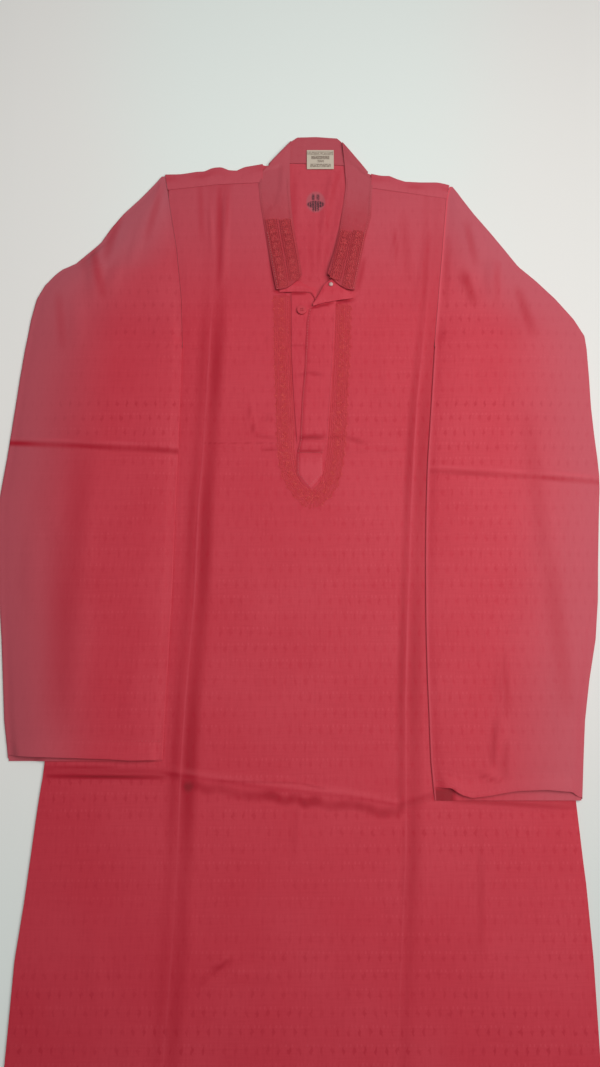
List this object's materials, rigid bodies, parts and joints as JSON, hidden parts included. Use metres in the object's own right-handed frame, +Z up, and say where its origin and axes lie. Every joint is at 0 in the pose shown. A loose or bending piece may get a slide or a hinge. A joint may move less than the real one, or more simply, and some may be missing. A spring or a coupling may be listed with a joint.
{
  "type": "kurta laid flat",
  "caption": "Knee-length kurta with stand collar, placket and long sleeves, laid flat face up with the sleeves down at the sides.",
  "frame": {"origin": "middle of the surface that the garment lies on, under the centre of its outline", "axes": "+X to the wearer's left, +Y from hem to collar, +Z up out of the surface, towards the front of the garment"},
  "size_m": [0.644, 1.06, 0.0078],
  "materials": {
    "kurta_cloth": "crimson cotton silk with a small woven motif and a soft sheen",
    "embroidered_cloth": "the same cloth, interfaced and closely stitched in its own colour",
    "label_cloth": "cream woven tape",
    "pale_button": "pearly",
    "red_button": "dyed to match the cloth"
  },
  "bodies": {
    "root": {"back": "kurta_cloth", "front": "kurta_cloth", "sleeve_right": "kurta_cloth", "sleeve_left": "kurta_cloth", "collar": "embroidered_cloth", "placket_under": "kurta_cloth", "placket_upper": "kurta_cloth", "neck_corner_right": "kurta_cloth", "neck_corner_left": "kurta_cloth", "neck_label": "label_cloth", "collar_button": "pale_button", "placket_button": "red_button"}
  },
  "joints": []
}
